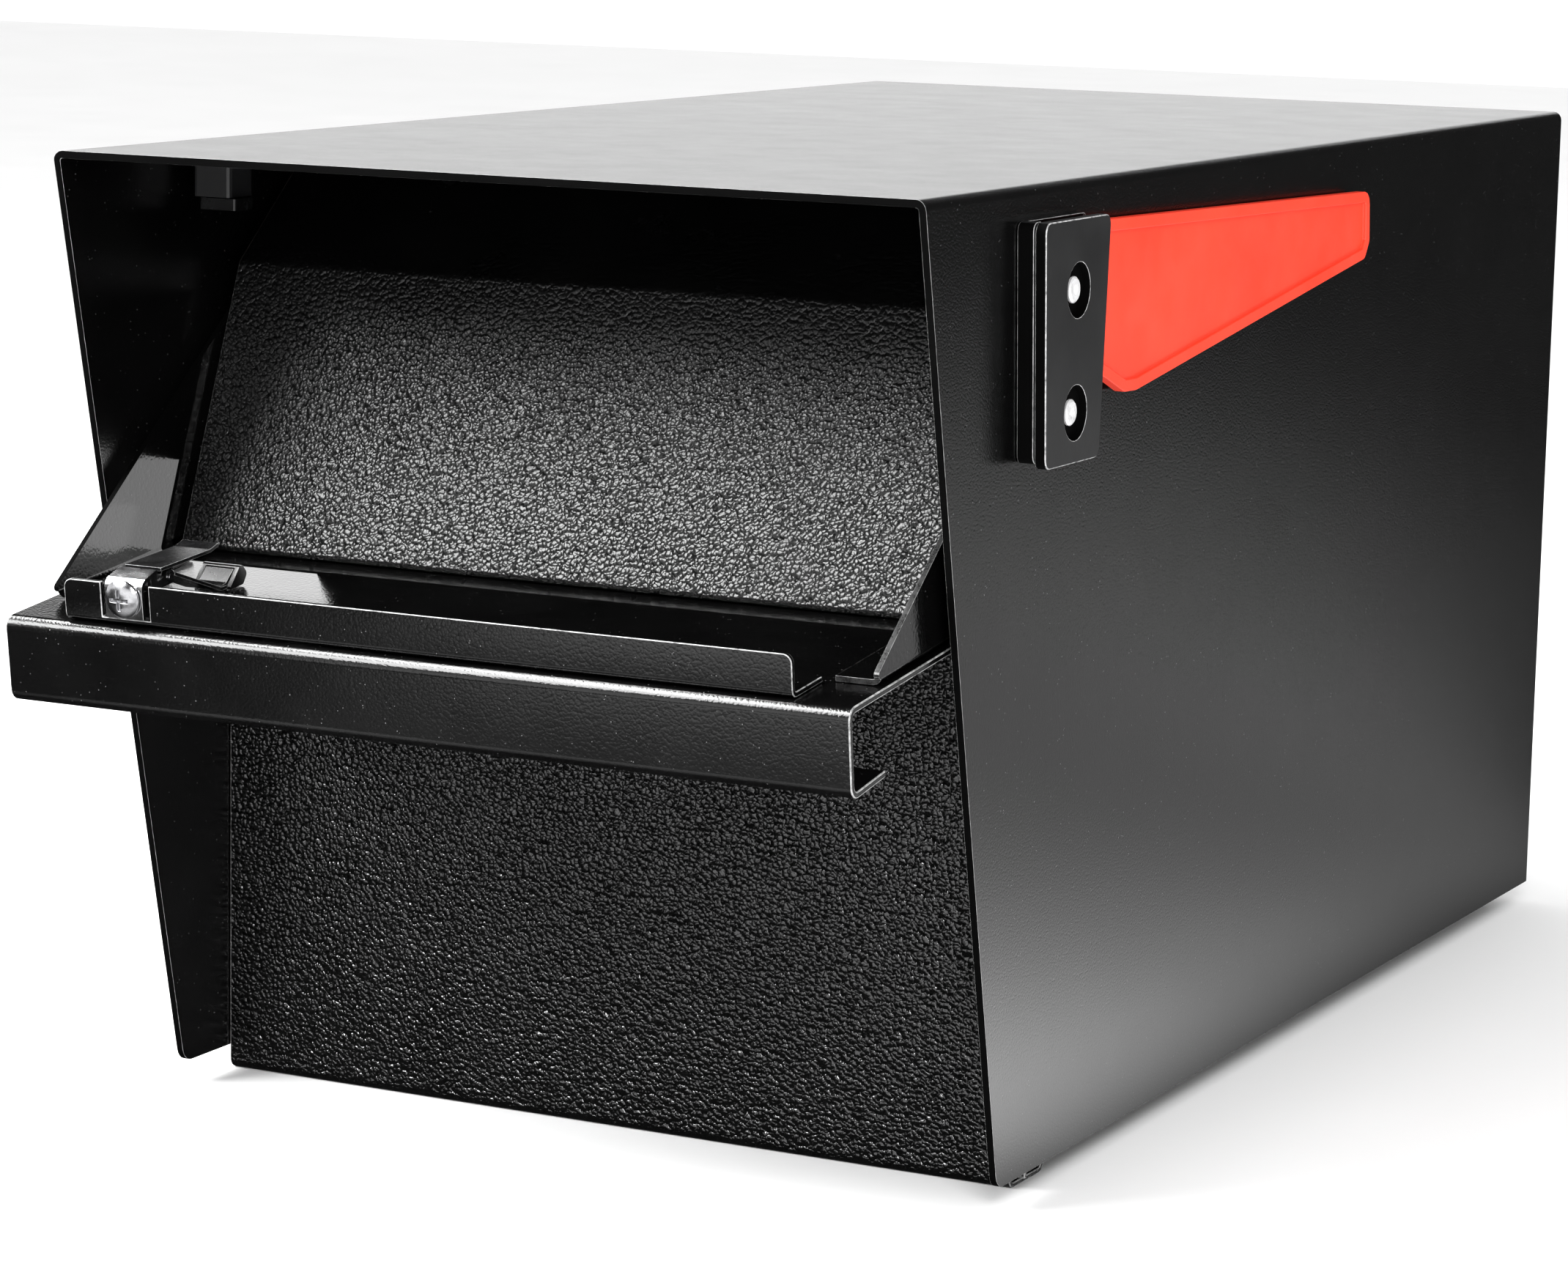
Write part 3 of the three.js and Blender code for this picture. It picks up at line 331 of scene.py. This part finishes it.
def refined(node, edge, materials, paint, segments):
    """The node's solid with its flats merged and its sharp edges rounded, standing for that node.

    The rounding is edge metres wide and takes the second material, if there is one.
    paint(centre, normal, index) may give a face another one.
    """
    mesh = bpy.data.meshes.new(node + "_skin")
    bm = bmesh.new()
    bm.from_mesh(NODES[node].data)
    bmesh.ops.remove_doubles(bm, verts=bm.verts, dist=MERGE_DISTANCE)
    bmesh.ops.dissolve_limit(bm, angle_limit=FLAT_ANGLE, verts=bm.verts, edges=bm.edges)
    for face in bm.faces:
        face.material_index = 0
    sharp = [e for e in bm.edges
             if len(e.link_faces) == 2 and e.calc_face_angle(0.0) > SHARP_ANGLE]
    bmesh.ops.bevel(bm, geom=sharp, offset=edge, offset_type="OFFSET", segments=segments,
                    profile=0.5, affect="EDGES", clamp_overlap=True,
                    material=1 if len(materials) > 1 else -1)
    for face in bm.faces:
        face.smooth = True
        if paint:
            centre = face.calc_center_median()
            face.material_index = paint(centre, face.normal, face.material_index)
    bm.to_mesh(mesh)
    bm.free()
    for material in materials:
        mesh.materials.append(material)
    piece = bpy.data.objects.new(node + "_skin", mesh)
    SCENE.collection.objects.link(piece)
    weigh = piece.modifiers.new("even_normals", "WEIGHTED_NORMAL")
    weigh.mode = "FACE_AREA"
    weigh.weight = 100
    weigh.keep_sharp = True
    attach(piece, BODY_OF[node])
    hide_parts(node)
    return piece


def middle(node):
    """The middle of a node's box."""
    low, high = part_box(node)
    return (low + high) / 2


SCREW_MIDDLES = [middle("flag_pivot_screw"), middle("flag_lower_screw")]
COVER_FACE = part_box("flag_cover")[1].x
RECESS_RADIUS = 7.9 * MM
RECESS_DEPTH = 0.05 * MM


def shaded_holder_faces(centre, normal, index):
    """Paints shade: the flag holder's front side and the recesses around its screws take the third
    material, the painted shade.
    """
    inside = any(math.hypot(centre.y - screw.y, centre.z - screw.z) < RECESS_RADIUS
                 for screw in SCREW_MIDDLES)
    recess = inside and centre.x < COVER_FACE - RECESS_DEPTH
    return 2 if recess or (index == 0 and normal.y < -0.5) else index


def cut_faces(centre, normal, index):
    """A side sheet's cut edge along its slanted front takes the third material: painted shade on
    the housing and the left wing, a dimmed painted highlight on the right wing.
    """
    return 2 if index == 0 and normal.y < -0.3 and abs(normal.x) < 0.5 else index


PAINTS = {
    "flag_cover": shaded_holder_faces,
    "flag_base": shaded_holder_faces,
    "wing_left": cut_faces,
    "wing_right": cut_faces,
    "housing_wrap": cut_faces,
}

# roundings carry painted highlights, except the left wing's, which carry painted shade; painted
# faces carry painted shade or a dimmed painted highlight
SKINS = {
    # node: (edge rounding in mm, materials of flats, roundings and painted faces, slot)
    "housing_wrap": (0.35, (FINE, BRIGHT_EDGE_HIGHLIGHT, SHADE_BLACK), "black_coat"),
    "front_panel": (0.3, (HEAVY, EDGE_HIGHLIGHT), "black_coat"),
    "baffle": (0.3, (COARSE, EDGE_HIGHLIGHT), "black_coat"),
    "hopper_door": (0.35, (MEDIUM, EDGE_HIGHLIGHT), "black_coat"),
    "hopper_stiffener": (0.3, (MEDIUM, EDGE_HIGHLIGHT), "black_coat"),
    "wing_left": (0.3, (SMOOTH, SHADE_BLACK, SHADE_BLACK), "black_coat"),
    "wing_right": (0.3, (SMOOTH, EDGE_HIGHLIGHT, DIM_EDGE_HIGHLIGHT), "black_coat"),
    "rear_door": (0.35, (MEDIUM, EDGE_HIGHLIGHT), "black_coat"),
    "rear_frame": (0.3, (MEDIUM, EDGE_HIGHLIGHT), "black_coat"),
    "floor_pan": (0.3, (MEDIUM, EDGE_HIGHLIGHT), "black_coat"),
    "base_channel": (0.3, (MEDIUM, EDGE_HIGHLIGHT), "black_coat"),
    "flag": (0.35, (ORANGE,), "flag_orange"),
    "flag_cover": (0.22, (PLASTIC, ARRIS_HIGHLIGHT, SHADE_BLACK), "black_plastic"),
    "flag_base": (0.22, (PLASTIC, ARRIS_HIGHLIGHT, SHADE_BLACK), "black_plastic"),
    "clip_bracket": (0.1, (PLATED,), "plated"),
    "clip_lever": (0.15, (SPRING, ARRIS_HIGHLIGHT), "dark_steel"),
    "clip_pad": (2.0, (VINYL,), "vinyl"),
    "clip_screw": (0.12, (ZINC,), "zinc"),
    "flag_pivot_screw": (0.15, (SCREW,), "zinc"),
    "flag_lower_screw": (0.15, (SCREW,), "zinc"),
}
for node, (edge, materials, slot) in SKINS.items():
    segments = 4 if edge > 1 else 2
    refined(node, edge * MM, materials, PAINTS.get(node), segments)

for node, piece in NODES.items():
    if node in SKINS:
        continue
    names = [slot.material.name for slot in piece.material_slots if slot.material]
    found = next((key for key in SLOT_MATERIALS if any(key in name for name in names)), None)
    piece.data.materials.clear()
    piece.data.materials.append(SLOT_MATERIALS.get(found, MEDIUM))


# ---------------------------------------------------------------- stage

def aimed(centre, along):
    """A place at centre whose own z axis points along the given direction."""
    return Matrix.Translation(centre) @ along.to_track_quat("Z", "Y").to_matrix().to_4x4()


def flat(name, place, width, height, material):
    """A rectangle of the studio, with its middle at place and square to that place's z axis."""
    mesh = bpy.data.meshes.new(name)
    w, h = width / 2, height / 2
    mesh.from_pydata([(-w, -h, 0), (w, -h, 0), (w, h, 0), (-w, h, 0)], [], [(0, 1, 2, 3)])
    mesh.materials.append(material)
    made = bpy.data.objects.new(name, mesh)
    made.matrix_world = place
    SCENE.collection.objects.link(made)
    return made


def softbox(name, centre, aim, width, height, watts):
    """A rectangular lamp at centre, aimed at a point."""
    lamp = bpy.data.lights.new(name, "AREA")
    lamp.shape = "RECTANGLE"
    lamp.size = width
    lamp.size_y = height
    lamp.energy = watts
    made = bpy.data.objects.new(name, lamp)
    made.matrix_world = aimed(centre, Vector(centre) - Vector(aim))
    SCENE.collection.objects.link(made)


def only_in_reflections(thing):
    """Hide a piece of the studio from everything but glossy rays."""
    thing.visible_camera = False
    thing.visible_diffuse = False
    thing.visible_shadow = False
    thing.visible_transmission = False


def card(name, centre, facing, width, height, material):
    """A card at centre that looks at the point facing, and shows only in reflections."""
    place = aimed(centre, Vector(facing) - Vector(centre))
    only_in_reflections(flat(name, place, width, height, material))


def glowing(name, strength):
    """A lit studio surface: strength is a number, or a function from the Shader to a socket."""
    s = Shader(name)
    light = s.node("ShaderNodeEmission")
    s.put(strength(s) if callable(strength) else strength, light.inputs["Strength"])
    s.link(light.outputs["Emission"], s.tree.nodes["Material Output"].inputs["Surface"])
    return s.material


def one_sided(name, strength):
    """A small bounce card's light: lit in front, clear from behind."""
    s = Shader(name)
    light = s.node("ShaderNodeEmission")
    light.inputs["Strength"].default_value = strength
    mix = s.node("ShaderNodeMixShader")
    s.link(s.node("ShaderNodeNewGeometry").outputs["Backfacing"], mix.inputs["Fac"])
    s.link(light.outputs["Emission"], mix.inputs[1])
    s.link(s.node("ShaderNodeBsdfTransparent").outputs["BSDF"], mix.inputs[2])
    s.link(mix.outputs["Shader"], s.tree.nodes["Material Output"].inputs["Surface"])
    return s.material


FLOOR_SPAN = 12.0
LEVEL = Matrix.Identity(4)

pale = Shader("pale_floor")
pale_tone = pale.ramp(pale.noise(0.6, detail=3.0), (0.3, grey(0.905)), (0.7, grey(0.925)))
pale_rough = pale.ranged(pale.noise(0.1), (0.3, 0.7), (0.8, 0.95))
pale.finish(pale_tone, pale_rough, pale.bump(pale.noise(0.01), 0.0001))
floor = flat("floor", LEVEL, FLOOR_SPAN, FLOOR_SPAN, pale.material)
floor.visible_glossy = False

black = Shader("black_card")
black_tone = black.ramp(black.noise(0.05), (0.3, grey(0.004)), (0.7, grey(0.006)))
black_rough = black.ranged(black.noise(0.05), (0.0, 1.0), (0.9, 1.0))
black.finish(black_tone, black_rough, black.bump(black.noise(0.01), 0.0001))

# How bright the floor is in the coat's reflections, as (y, level) stops inside a span of y: a
# bright patch by the front right corner, and a shaded strip under the tray.
RIGHT_SPAN = (-1.0, 2.0)
RIGHT_LEVELS = ((-0.6, 1.0), (-0.12, 3.2), (0.02, 1.9), (0.1, 1.25), (0.24, 0.66), (0.36, 0.45),
                (0.65, 0.66), (0.95, 0.64), (1.2, 0.62), (1.6, 0.25), (1.95, 0.15))
FRONT_SPAN = (-2.0, 1.0)
FRONT_LEVELS = ((-1.5, 0.6), (-1.0, 1.8), (-0.68, 2.0), (-0.6, 0.35), (-0.5, 0.2), (-0.46, 1.0),
                (-0.39, 0.7), (-0.33, 0.02), (0.2, 0.02), (0.6, 0.5))
BRIGHTEST = 4.0  # a ramp holds 0 to 1, so levels are shares of this inside it


def levels(s, value, span, stops):
    """Grey levels along a value, through (value, level) stops inside span."""
    low, high = span
    shares = [((at - low) / (high - low), grey(level / BRIGHTEST)) for at, level in stops]
    return s.math("MULTIPLY", s.ramp(s.ranged(value, span, (0.0, 1.0)), *shares), BRIGHTEST)


def floor_light(s):
    """The lit floor's strength: one run of levels beside the housing, another in front of it."""
    apart = s.node("ShaderNodeSeparateXYZ")
    s.link(s.place, apart.inputs["Vector"])
    x, y = apart.outputs["X"], apart.outputs["Y"]
    right = levels(s, y, RIGHT_SPAN, RIGHT_LEVELS)
    behind = s.math("SUBTRACT", y, s.math("MULTIPLY", x, 2.0))
    rear_fade = s.ranged(behind, (-0.01, 0.09), (1.0, 0.08), smooth=True)
    front = levels(s, y, FRONT_SPAN, FRONT_LEVELS)
    left_fade = s.ranged(x, (-0.3, -0.17), (0.05, 1.0), smooth=True)
    beside = s.ranged(x, (0.12, 0.2), (0.0, 1.0), smooth=True)
    return s.mixed(beside, s.math("MULTIPLY", front, left_fade),
                   s.math("MULTIPLY", right, rear_fade))


lit_floor = glowing("lit_floor", floor_light)
only_in_reflections(flat("lit_floor", LEVEL, FLOOR_SPAN, FLOOR_SPAN, lit_floor))
card("black_screen_right", (0.56, 0.74, 0.73), (-0.3, -1.2, 0.73), 1.05, 1.2, black.material)
card("white_backdrop", (-1.3, 2.2, 0.55), (0.0, 0.0, 0.55), 3.2, 1.1,
     glowing("white_backdrop", 1.45))
card("black_screen_left", (-1.25, -0.98, 0.15), (-1.25, 0.0, 0.15), 1.5, 0.5, black.material)
card("grey_wall_front", (0.25, -1.7, 0.2), (0.25, 0.0, 0.2), 3.4, 0.6, glowing("grey_wall", 1.6))

BAFFLE_FOOT = Vector((0.0, -0.2214, 0.1613))
BAFFLE_UP = Vector((0.0, 0.354, 0.935))
BAFFLE_OUT = Vector((0.0, -0.935, 0.354))


def bounce(name, left, right, rise, strength, gap):
    """A card gap metres in front of the baffle's foot, which the open hopper mirrors.

    It reaches from left to right and rise metres up. With strength 0 it is a shade.
    """
    across = Vector(((left + right) / 2, 0.0, 0.0))
    centre = BAFFLE_FOOT + BAFFLE_UP * (rise / 2) + BAFFLE_OUT * gap + across
    card(name, centre, centre + BAFFLE_OUT, right - left, rise, one_sided(name, strength))


bounce("bounce_wing", -0.132, -0.103, rise=0.033, strength=2.2, gap=0.003)
bounce("bounce_tray", -0.118, -0.074, rise=0.018, strength=2.6, gap=0.0035)
bounce("shade_foot", -0.131, 0.131, rise=0.085, strength=0.0, gap=0.0015)

# the dark ceiling above the low white walls of the studio
CEILING_RADIUS = 4.0
CEILING_FOOT = CEILING_RADIUS * math.sin(math.radians(20))
bm = bmesh.new()
bmesh.ops.create_uvsphere(bm, u_segments=48, v_segments=24, radius=CEILING_RADIUS)
bmesh.ops.delete(bm, geom=[v for v in bm.verts if v.co.z < CEILING_FOOT], context="VERTS")
ceiling_mesh = bpy.data.meshes.new("dark_ceiling")
bm.to_mesh(ceiling_mesh)
bm.free()
ceiling_mesh.materials.append(black.material)
ceiling = bpy.data.objects.new("dark_ceiling", ceiling_mesh)
SCENE.collection.objects.link(ceiling)
only_in_reflections(ceiling)

WALL_LIGHT = 1.1
world = bpy.data.worlds.new("studio")
world.use_nodes = True
background = world.node_tree.nodes["Background"]
background.inputs["Color"].default_value = (1.0, 1.0, 1.0, 1.0)
background.inputs["Strength"].default_value = WALL_LIGHT
SCENE.world = world

softbox("key_front_left", (-1.1, -1.24, 1.32), (0, -0.2, 0.2), width=1.2, height=0.66, watts=46)
softbox("strip_overhead", (-0.8, -0.5, 1.5), (0, -0.29, 0.16), width=1.6, height=0.28, watts=45)
softbox("key_front_right", (0.84, -1.37, 0.95), (-0.1, -0.2, 0.18), width=0.55, height=0.5,
        watts=14)
